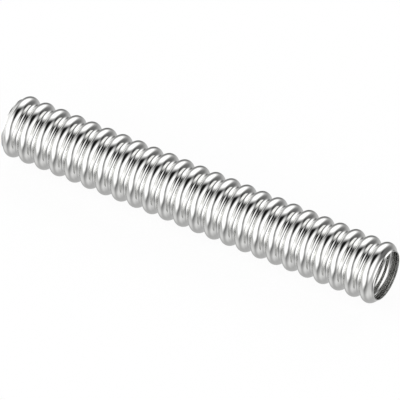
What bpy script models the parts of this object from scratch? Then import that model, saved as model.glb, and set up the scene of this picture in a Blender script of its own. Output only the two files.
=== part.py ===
"""Corrugated stainless steel hose: one thin wall with ring corrugations, cut square at both ends.

Metres, +Z up. The hose lies along X, centred over the origin, and rests on z = 0.
"""

import math

import bmesh
import bpy
from mathutils import Matrix, Vector

# Driving dimensions of the hose
CREST_DIAMETER = 0.0214  # outside, over the crests
VALLEY_DIAMETER = 0.0174  # outside, at the bottom of a valley
WALL = 0.0003  # thickness of the strip
PITCH = 0.0059  # from one crest to the next
CORRUGATIONS = 24  # crests between the two cut ends
CREST_ARC = 0.00205  # radius of a crest's round top in section, outside of the wall
FLANK = 0.00055  # length of the straight flank between a crest's arc and a valley's arc

# Fineness of the faceted solid
SIDES = 20  # flats around the hose, one of them underneath
CREST_BEND = 0.6  # share of the turn over a crest's arc at which it has its one bend

STEEL_COLOUR = (0.9, 0.9, 0.88, 1.0)
STEEL_ROUGHNESS = 0.05


def clear_scene():
    for obj in list(bpy.data.objects):
        bpy.data.objects.remove(obj)


def valley_arc_and_slope():
    """Radius of the valley's arc and slope of the flank, for which arc, flank and arc run on smoothly."""
    half_pitch = PITCH / 2
    depth = (CREST_DIAMETER - VALLEY_DIAMETER) / 2
    both_arcs = (half_pitch**2 + depth**2 - FLANK**2) / (2 * depth)
    slope = math.atan2(both_arcs, FLANK) - math.atan2(both_arcs - depth, half_pitch)
    return both_arcs - CREST_ARC, slope


def half_wave(inset):
    """Points from a crest's top to the next valley's bottom, as (distance along, radius).

    The outside of the wall has inset 0, and the inside has the wall's thickness.
    """
    valley_arc, slope = valley_arc_and_slope()
    crest_centre = CREST_DIAMETER / 2 - CREST_ARC
    valley_centre = VALLEY_DIAMETER / 2 + valley_arc
    points = []
    for turn in (0, slope * CREST_BEND):
        reach = CREST_ARC - inset
        points.append((reach * math.sin(turn), crest_centre + reach * math.cos(turn)))
    for turn in (slope, 0):
        reach = valley_arc + inset
        points.append((PITCH / 2 - reach * math.sin(turn), valley_centre - reach * math.cos(turn)))
    return points


def wave(inset):
    """One side of the wall from the left end to the right end, valley to valley."""
    right_half = half_wave(inset)
    left_half = [(-along, radius) for along, radius in reversed(right_half)]
    ripple = left_half + right_half[1:]
    first_crest = -(CORRUGATIONS - 1) * PITCH / 2
    points = [(first_crest + ripple[0][0], ripple[0][1])]
    for index in range(CORRUGATIONS):
        crest = first_crest + index * PITCH
        points += [(crest + along, radius) for along, radius in ripple[1:]]
    return points


def hose_mesh():
    """The wall's section, spun round X. The flats of the faceted rings touch the true circles."""
    to_corner = 1 / math.cos(math.pi / SIDES)
    section = wave(0) + list(reversed(wave(WALL)))
    bm = bmesh.new()
    corners = [bm.verts.new((along, 0, -radius * to_corner)) for along, radius in section]
    edges = [bm.edges.new((a, b)) for a, b in zip(corners, corners[1:] + corners[:1])]
    bmesh.ops.rotate(
        bm,
        verts=corners,
        cent=Vector(),
        matrix=Matrix.Rotation(math.pi / SIDES, 3, "X"),
    )
    bmesh.ops.spin(
        bm,
        geom=corners + edges,
        cent=Vector(),
        axis=Vector((1, 0, 0)),
        angle=2 * math.pi,
        steps=SIDES,
        use_merge=True,
    )
    bmesh.ops.recalc_face_normals(bm, faces=bm.faces)
    mesh = bpy.data.meshes.new("hose_wall")
    bm.to_mesh(mesh)
    bm.free()
    mesh.shade_smooth()
    mesh.set_sharp_from_angle(angle=math.radians(60))
    return mesh


def steel():
    material = bpy.data.materials.new("bright_stainless_steel")
    material.use_nodes = True
    shader = material.node_tree.nodes["Principled BSDF"]
    shader.inputs["Base Color"].default_value = STEEL_COLOUR
    shader.inputs["Metallic"].default_value = 1.0
    shader.inputs["Roughness"].default_value = STEEL_ROUGHNESS
    return material


def main():
    clear_scene()
    hose = bpy.data.objects.new("hose_wall", hose_mesh())
    hose.data.materials.append(steel())
    hose.location = (0, 0, CREST_DIAMETER / 2)
    bpy.context.scene.collection.objects.link(hose)


main()
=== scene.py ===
"""Looks of the corrugated stainless steel hose: the fine wall, its steel and a plain pale studio.

Metres, +Z up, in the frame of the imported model. The hose lies along X and rests on z = 0.
"""

import math

import bmesh
import bpy
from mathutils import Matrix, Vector


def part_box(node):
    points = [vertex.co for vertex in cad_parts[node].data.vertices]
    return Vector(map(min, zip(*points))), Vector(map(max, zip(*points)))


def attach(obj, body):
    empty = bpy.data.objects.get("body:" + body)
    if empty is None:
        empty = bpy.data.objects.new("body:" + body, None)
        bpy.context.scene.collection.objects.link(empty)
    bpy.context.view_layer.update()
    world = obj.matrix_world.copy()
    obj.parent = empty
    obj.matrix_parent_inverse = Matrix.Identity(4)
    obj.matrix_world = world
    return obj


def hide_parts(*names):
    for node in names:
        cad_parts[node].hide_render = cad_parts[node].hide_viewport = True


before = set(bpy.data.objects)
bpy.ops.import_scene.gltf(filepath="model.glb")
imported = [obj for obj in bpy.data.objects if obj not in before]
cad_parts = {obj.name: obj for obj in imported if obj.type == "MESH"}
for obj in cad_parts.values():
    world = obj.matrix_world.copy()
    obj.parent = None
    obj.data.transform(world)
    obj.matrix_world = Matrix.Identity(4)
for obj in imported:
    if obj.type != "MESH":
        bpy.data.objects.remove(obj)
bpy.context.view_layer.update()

MM = 0.001

# Sizes of the hose, the same as in the solid model
CREST_DIAMETER = 21.4 * MM
VALLEY_DIAMETER = 17.4 * MM
WALL = 0.3 * MM
PITCH = 5.9 * MM
CREST_ARC = 2.05 * MM
FLANK = 0.55 * MM
HOSE_LOW, HOSE_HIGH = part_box("hose_wall")
HALF_LENGTH = (HOSE_HIGH.x - HOSE_LOW.x) / 2
CORRUGATIONS = round(2 * HALF_LENGTH / PITCH)
FIRST_CREST = -(CORRUGATIONS - 1) * PITCH / 2
AXIS_HEIGHT = HOSE_LOW.z + CREST_DIAMETER / 2

# Fineness of the wall that shows
SIDES = 80
OUTSIDE_STEPS = (7, 6)  # along a crest's arc and a valley's arc
INSIDE_STEPS = (4, 4)
BURR = 0.04 * MM  # rounding of the cut edges
BURR_STEPS = 2
ON_CUT_FACE = BURR / 10  # what lies closer to the end than this is on the cut face
ON_BURR = BURR * 0.9  # and closer than this, on the rounding

# The steel's finish: roughness of the mirror, from the clearest to the cloudiest place
MIRROR = (0.03, 0.06)
BORE_MIRROR = (0.1, 0.16)
CLEAR_TO_CLOUDY = (0.3, 0.7)  # levels of the noise that stand for those two
MARK_SPACING = 0.3 * MM
MARK_LENGTH = 6 * MM
MARK_DEPTH = 0.001 * MM
TONE_LENGTH = 9 * MM
STEEL_TONES = ("#E1E1DF", "#DEDEDD")

# The photograph is 400 pixels wide and high. Its view is practically parallel, so the camera
# stands far off and has a long lens.
PHOTO_PIXELS = 400
PHOTO_WIDTH = 131.81 * MM  # what the photograph takes in at the hose
CAMERA_AZIMUTH = math.radians(30)
CAMERA_ELEVATION = math.radians(45)
SHIFT_PIXELS = (0.46, -0.61)  # puts the hose's middle where the photograph has it
LENS = 1600.0
SENSOR = 36.0

# The studio, in degrees: azimuth from +X and elevation of a soft box's middle, half width and half
# height out to its soft edge, and the brightness at the middle
SOFT_BOXES = (
    (101, 32, 41, 39, 1.52),
    (-20, 30, 46, 41, 1.32),
    (-142, 27, 43, 40, 1.40),
    (-103, 5, 35, 35, 1.22),
    (161, -7, 40, 34, 1.07),
)
# Where they shine back from the floor
FLOOR_GLOWS = ((101, -20, 43, 43, 0.31), (-20, -27, 45, 45, 0.50), (-142, -30, 44, 44, 0.43))
# Dark cards behind the hose and in front of it, in the same way, with how much light each keeps off
DARK_CARDS = ((123, -6, 36, 31, 0.66), (-51, -25, 18, 27, 0.28))
FALL_OFF = (19, 53)  # where full light ends and dark begins, if the stated edge counts as 45
# Elevation and brightness of the room between the soft boxes, from the pale floor up to the dark roof
ROOM = (
    (-90, 0.51),
    (-70, 0.54),
    (-55, 0.48),
    (-40, 0.33),
    (-28, 0.21),
    (-18, 0.10),
    (-10, 0.17),
    (5, 0.19),
    (15, 0.12),
    (28, 0.02),
    (42, 0.26),
    (56, 0.19),
    (68, 0.01),
)
BOUNCES = 8  # light leaves the polished bore only after many

FLOOR_SIZE = 8.0
FLOOR_PAINT = "#E4E4E4"
FLOOR_WHITE = 1.05  # strength of the white that the camera sees
WHITE_SHARE = 0.88  # of what the camera sees there. The rest is the paint, with the hose's shadow.


def linear(colour):
    """Linear red, green, blue and alpha of an sRGB hex colour."""
    channels = [int(colour[i : i + 2], 16) / 255 for i in (1, 3, 5)]
    return [c / 12.92 if c <= 0.04045 else ((c + 0.055) / 1.055) ** 2.4 for c in channels] + [1.0]


def add(tree, kind, settings=None, **inputs):
    """A node of this kind. Settings are its properties.

    Inputs go by name, or by their place as _0, _1 and so on. Each is a value or a socket to link from.
    """
    node = tree.nodes.new(kind)
    for name, value in (settings or {}).items():
        setattr(node, name, value)
    for name, value in inputs.items():
        place = name[1:]
        socket = node.inputs[int(place) if place.isdigit() else name.replace("_", " ")]
        if isinstance(value, bpy.types.NodeSocket):
            tree.links.new(value, socket)
        else:
            socket.default_value = value
    return node


def valley_arc_and_slope():
    """Radius of the valley's arc and slope of the flank, for which arc, flank and arc run on smoothly."""
    half_pitch = PITCH / 2
    depth = (CREST_DIAMETER - VALLEY_DIAMETER) / 2
    both_arcs = (half_pitch**2 + depth**2 - FLANK**2) / (2 * depth)
    slope = math.atan2(both_arcs, FLANK) - math.atan2(both_arcs - depth, half_pitch)
    return both_arcs - CREST_ARC, slope


VALLEY_ARC, SLOPE = valley_arc_and_slope()
CREST_CENTRE = CREST_DIAMETER / 2 - CREST_ARC  # distance of the arcs' centres from the hose's axis
VALLEY_CENTRE = VALLEY_DIAMETER / 2 + VALLEY_ARC


def half_wave(inset, crest_steps, valley_steps):
    """Points from a crest's top to the next valley's bottom, as (distance along, radius).

    The outside of the wall has inset 0, and the inside has the wall's thickness.
    """
    points = []
    for step in range(crest_steps + 1):
        turn = SLOPE * step / crest_steps
        reach = CREST_ARC - inset
        points.append((reach * math.sin(turn), CREST_CENTRE + reach * math.cos(turn)))
    for step in range(valley_steps, -1, -1):
        turn = SLOPE * step / valley_steps
        reach = VALLEY_ARC + inset
        points.append((PITCH / 2 - reach * math.sin(turn), VALLEY_CENTRE - reach * math.cos(turn)))
    return points


def wave(inset, steps):
    """One side of the wall from the left end to the right end, valley to valley."""
    right_half = half_wave(inset, *steps)
    left_half = [(-along, radius) for along, radius in reversed(right_half)]
    ripple = left_half + right_half[1:]
    points = [(FIRST_CREST + ripple[0][0], ripple[0][1])]
    for index in range(CORRUGATIONS):
        crest = FIRST_CREST + index * PITCH
        points += [(crest + along, radius) for along, radius in ripple[1:]]
    return points


def true_normal(vertex):
    """Direction out of the wall at a vertex, as the arcs have it, so that mirror images in it run smoothly.

    The hose's axis is still the X axis here.
    """
    place = vertex.co
    from_end = HALF_LENGTH - abs(place.x)
    if from_end < ON_CUT_FACE:
        return Vector((math.copysign(1, place.x), 0, 0))
    if from_end < ON_BURR:
        return vertex.normal
    radius = place.yz.length
    pitches = (place.x - FIRST_CREST) / PITCH
    flank_low = VALLEY_CENTRE - (VALLEY_ARC + WALL) * math.cos(SLOPE)
    flank_high = CREST_CENTRE + CREST_ARC * math.cos(SLOPE)
    if radius > (flank_low + flank_high) / 2:
        along = place.x - FIRST_CREST - round(pitches) * PITCH
        out = Vector((along, radius - CREST_CENTRE))
        outside = out.length > CREST_ARC - WALL / 2
    else:
        along = FIRST_CREST + (math.floor(pitches) + 0.5) * PITCH - place.x
        out = Vector((along, VALLEY_CENTRE - radius))
        outside = out.length < VALLEY_ARC + WALL / 2
    out.normalize()
    if not outside:
        out.negate()
    return Vector((out.x, out.y * place.y / radius, out.y * place.z / radius))


def hose_wall():
    """The corrugated wall, spun round the hose's axis, with the burr of each cut edge broken."""
    section = wave(0, OUTSIDE_STEPS) + list(reversed(wave(WALL, INSIDE_STEPS)))
    bm = bmesh.new()
    corners = [bm.verts.new((along, 0, radius)) for along, radius in section]
    edges = [bm.edges.new((a, b)) for a, b in zip(corners, corners[1:] + corners[:1])]
    bmesh.ops.spin(
        bm,
        geom=corners + edges,
        cent=Vector(),
        axis=Vector((1, 0, 0)),
        angle=2 * math.pi,
        steps=SIDES,
        use_merge=True,
    )
    bmesh.ops.recalc_face_normals(bm, faces=bm.faces)
    rims = [
        edge
        for edge in bm.edges
        if all(HALF_LENGTH - abs(v.co.x) < ON_CUT_FACE for v in edge.verts)
        and abs(edge.verts[0].co.yz.length - edge.verts[1].co.yz.length) < WALL / 2
    ]
    bmesh.ops.bevel(
        bm,
        geom=rims,
        offset=BURR,
        segments=BURR_STEPS,
        profile=0.5,
        affect="EDGES",
        material=-1,
    )
    bm.normal_update()
    normals = [true_normal(vertex) for vertex in bm.verts]
    bmesh.ops.translate(bm, verts=bm.verts, vec=Vector((0, 0, AXIS_HEIGHT)))
    mesh = bpy.data.meshes.new("corrugated_wall")
    bm.to_mesh(mesh)
    bm.free()
    mesh.shade_smooth()
    mesh.normals_split_custom_set_from_vertices(normals)
    bore_side = mesh.attributes.new("bore_side", "FLOAT", "POINT")
    for vertex, normal in zip(mesh.vertices, normals):
        out = Vector((0, vertex.co.y, vertex.co.z - AXIS_HEIGHT))
        bore_side.data[vertex.index].value = 1.0 if normal.dot(out) < 0 else 0.0
    hose = bpy.data.objects.new("corrugated_wall", mesh)
    bpy.context.scene.collection.objects.link(hose)
    mesh.materials.append(bright_annealed_stainless_strip())
    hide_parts("hose_wall")
    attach(hose, "root")


def bright_annealed_stainless_strip():
    """Stainless strip, rolled bright and annealed under gas, then rolled into rings by forming wheels.

    It mirrors the studio sharply. The wheels leave fine rings that cloud the mirror a little from
    place to place, and the bore side, which no wheel polishes, stays softer.
    """
    material = bpy.data.materials.new("bright_annealed_stainless_strip")
    material.use_nodes = True
    tree = material.node_tree
    tree.nodes.clear()
    place = add(tree, "ShaderNodeTexCoord").outputs["Object"]
    # The wheels' marks lie close along the hose and run far round it, drawn coarser than real ones
    along_rings = add(
        tree,
        "ShaderNodeMapping",
        Vector=place,
        Scale=(1 / MARK_SPACING, 1 / MARK_LENGTH, 1 / MARK_LENGTH),
    )
    marks = add(tree, "ShaderNodeTexNoise", Vector=along_rings.outputs["Vector"], Scale=1.0, Detail=3.0)
    outside, inside = [
        add(
            tree,
            "ShaderNodeMapRange",
            Value=marks.outputs["Fac"],
            From_Min=CLEAR_TO_CLOUDY[0],
            From_Max=CLEAR_TO_CLOUDY[1],
            To_Min=clearest,
            To_Max=cloudiest,
        ).outputs["Result"]
        for clearest, cloudiest in (MIRROR, BORE_MIRROR)
    ]
    bore_side = add(tree, "ShaderNodeAttribute", {"attribute_name": "bore_side"}).outputs["Fac"]
    roughness = add(
        tree,
        "ShaderNodeMix",
        {"data_type": "FLOAT"},
        _0=bore_side,
        _2=outside,
        _3=inside,
    )
    # The tone changes slowly, where the gas cooled the strip unevenly
    tone = add(tree, "ShaderNodeTexNoise", Vector=place, Scale=1 / TONE_LENGTH, Detail=1.0)
    steel = add(
        tree,
        "ShaderNodeMix",
        {"data_type": "RGBA"},
        _0=tone.outputs["Fac"],
        _6=linear(STEEL_TONES[0]),
        _7=linear(STEEL_TONES[1]),
    )
    ripple = add(
        tree,
        "ShaderNodeBump",
        Height=marks.outputs["Fac"],
        Distance=MARK_DEPTH,
        Strength=1.0,
    )
    shader = add(
        tree,
        "ShaderNodeBsdfPrincipled",
        Base_Color=steel.outputs[2],
        Metallic=1.0,
        Roughness=roughness.outputs[0],
        Normal=ripple.outputs["Normal"],
    )
    add(tree, "ShaderNodeOutputMaterial", Surface=shader.outputs["BSDF"])
    return material


def soft_patch(tree, direction, azimuth, elevation, half_width, half_height, height):
    """An oval patch of the surroundings: the given height at its middle, and 0 outside its soft edge."""
    to_patch = add(
        tree,
        "ShaderNodeMapping",
        {"vector_type": "TEXTURE"},
        Vector=direction,
        Rotation=(0, -math.radians(elevation), math.radians(azimuth)),
        Scale=(1, math.tan(math.radians(half_width)), math.tan(math.radians(half_height))),
    )
    aim = add(tree, "ShaderNodeVectorMath", {"operation": "NORMALIZE"}, _0=to_patch.outputs["Vector"])
    ahead = add(tree, "ShaderNodeSeparateXYZ", Vector=aim.outputs["Vector"])
    angle = add(tree, "ShaderNodeMath", {"operation": "ARCCOSINE"}, _0=ahead.outputs["X"])
    patch = add(
        tree,
        "ShaderNodeMapRange",
        {"interpolation_type": "SMOOTHSTEP"},
        Value=angle.outputs["Value"],
        From_Min=math.radians(FALL_OFF[1]),
        From_Max=math.radians(FALL_OFF[0]),
        To_Max=height,
    )
    return patch.outputs["Result"]


def room_light(tree, direction):
    """Brightness of the room between the soft boxes, by height."""
    upward = add(tree, "ShaderNodeSeparateXYZ", Vector=direction).outputs["Z"]
    elevation = add(tree, "ShaderNodeMath", {"operation": "ARCSINE"}, _0=upward)
    share = add(
        tree,
        "ShaderNodeMapRange",
        Value=elevation.outputs["Value"],
        From_Min=-math.pi / 2,
        From_Max=math.pi / 2,
    )
    room = add(tree, "ShaderNodeValToRGB", Fac=share.outputs["Result"])
    elements = room.color_ramp.elements
    elements.remove(elements[1])
    for index, (degrees, grey) in enumerate(ROOM):
        place = (degrees + 90) / 180
        element = elements[0] if index == 0 else elements.new(place)
        element.position = place
        element.color = (grey, grey, grey, 1)
    return room.outputs["Color"]


def studio_world():
    """Five soft boxes, their light back from the floor and two dark cards, in a room with a dark roof.

    The camera sees it white.
    """
    world = bpy.data.worlds.new("studio")
    bpy.context.scene.world = world
    world.use_nodes = True
    tree = world.node_tree
    tree.nodes.clear()
    direction = add(tree, "ShaderNodeTexCoord").outputs["Generated"]
    light = room_light(tree, direction)
    for lit_patch in SOFT_BOXES + FLOOR_GLOWS:
        glow = soft_patch(tree, direction, *lit_patch)
        light = add(tree, "ShaderNodeMath", _0=light, _1=glow).outputs["Value"]
    for card in DARK_CARDS:
        kept_off = soft_patch(tree, direction, *card)
        rest = add(tree, "ShaderNodeMath", {"operation": "SUBTRACT"}, _0=1.0, _1=kept_off).outputs["Value"]
        light = add(tree, "ShaderNodeMath", {"operation": "MULTIPLY"}, _0=light, _1=rest).outputs["Value"]
    paths = add(tree, "ShaderNodeLightPath")
    seen = add(
        tree,
        "ShaderNodeMix",
        {"data_type": "FLOAT"},
        _0=paths.outputs["Is Camera Ray"],
        _2=light,
        _3=1.0,
    )
    back = add(tree, "ShaderNodeBackground", Color=(1, 1, 1, 1), Strength=seen.outputs[0])
    add(tree, "ShaderNodeOutputWorld", Surface=back.outputs["Background"])


def matt_white_paint():
    """White to the camera, with a faint shadow. The steel sees the studio's own, darker floor instead."""
    material = bpy.data.materials.new("matt_white_paint")
    material.use_nodes = True
    tree = material.node_tree
    tree.nodes.clear()
    paint = add(tree, "ShaderNodeBsdfDiffuse", Color=linear(FLOOR_PAINT))
    white = add(tree, "ShaderNodeEmission", Color=(1, 1, 1, 1), Strength=FLOOR_WHITE)
    paths = add(tree, "ShaderNodeLightPath")
    whiteness = add(
        tree,
        "ShaderNodeMath",
        {"operation": "MULTIPLY"},
        _0=paths.outputs["Is Camera Ray"],
        _1=WHITE_SHARE,
    )
    lit = add(
        tree,
        "ShaderNodeMixShader",
        _0=whiteness.outputs["Value"],
        _1=paint.outputs["BSDF"],
        _2=white.outputs["Emission"],
    )
    mirrored = add(
        tree,
        "ShaderNodeMath",
        {"operation": "MAXIMUM"},
        _0=paths.outputs["Is Glossy Ray"],
        _1=paths.outputs["Is Transmission Ray"],
    )
    clear = add(tree, "ShaderNodeBsdfTransparent")
    surface = add(
        tree,
        "ShaderNodeMixShader",
        _0=mirrored.outputs["Value"],
        _1=lit.outputs["Shader"],
        _2=clear.outputs["BSDF"],
    )
    add(tree, "ShaderNodeOutputMaterial", Surface=surface.outputs["Shader"])
    return material


def pale_floor():
    """The floor that the hose lies on."""
    bm = bmesh.new()
    bmesh.ops.create_grid(bm, x_segments=1, y_segments=1, size=FLOOR_SIZE / 2)
    mesh = bpy.data.meshes.new("floor")
    bm.to_mesh(mesh)
    bm.free()
    mesh.materials.append(matt_white_paint())
    floor = bpy.data.objects.new("floor", mesh)
    bpy.context.scene.collection.objects.link(floor)


def camera():
    """As the photograph was taken, from the right, above and in front."""
    data = bpy.data.cameras.new("camera")
    data.lens = LENS
    data.sensor_width = SENSOR
    data.shift_x = SHIFT_PIXELS[0] / PHOTO_PIXELS
    data.shift_y = SHIFT_PIXELS[1] / PHOTO_PIXELS
    view = bpy.data.objects.new("camera", data)
    bpy.context.scene.collection.objects.link(view)
    bpy.context.scene.camera = view
    level = math.cos(CAMERA_ELEVATION)
    back = Vector(
        (
            math.sin(CAMERA_AZIMUTH) * level,
            -math.cos(CAMERA_AZIMUTH) * level,
            math.sin(CAMERA_ELEVATION),
        )
    )
    distance = PHOTO_WIDTH * LENS / SENSOR
    view.location = Vector((0, 0, AXIS_HEIGHT)) + back * distance
    view.rotation_mode = "QUATERNION"
    view.rotation_quaternion = (-back).to_track_quat("-Z", "Y")
    data.clip_start = distance / 10
    data.clip_end = distance * 10


def main():
    camera()
    hose_wall()
    pale_floor()
    studio_world()
    bpy.context.scene.view_settings.view_transform = "Standard"
    bpy.context.scene.cycles.glossy_bounces = BOUNCES


main()
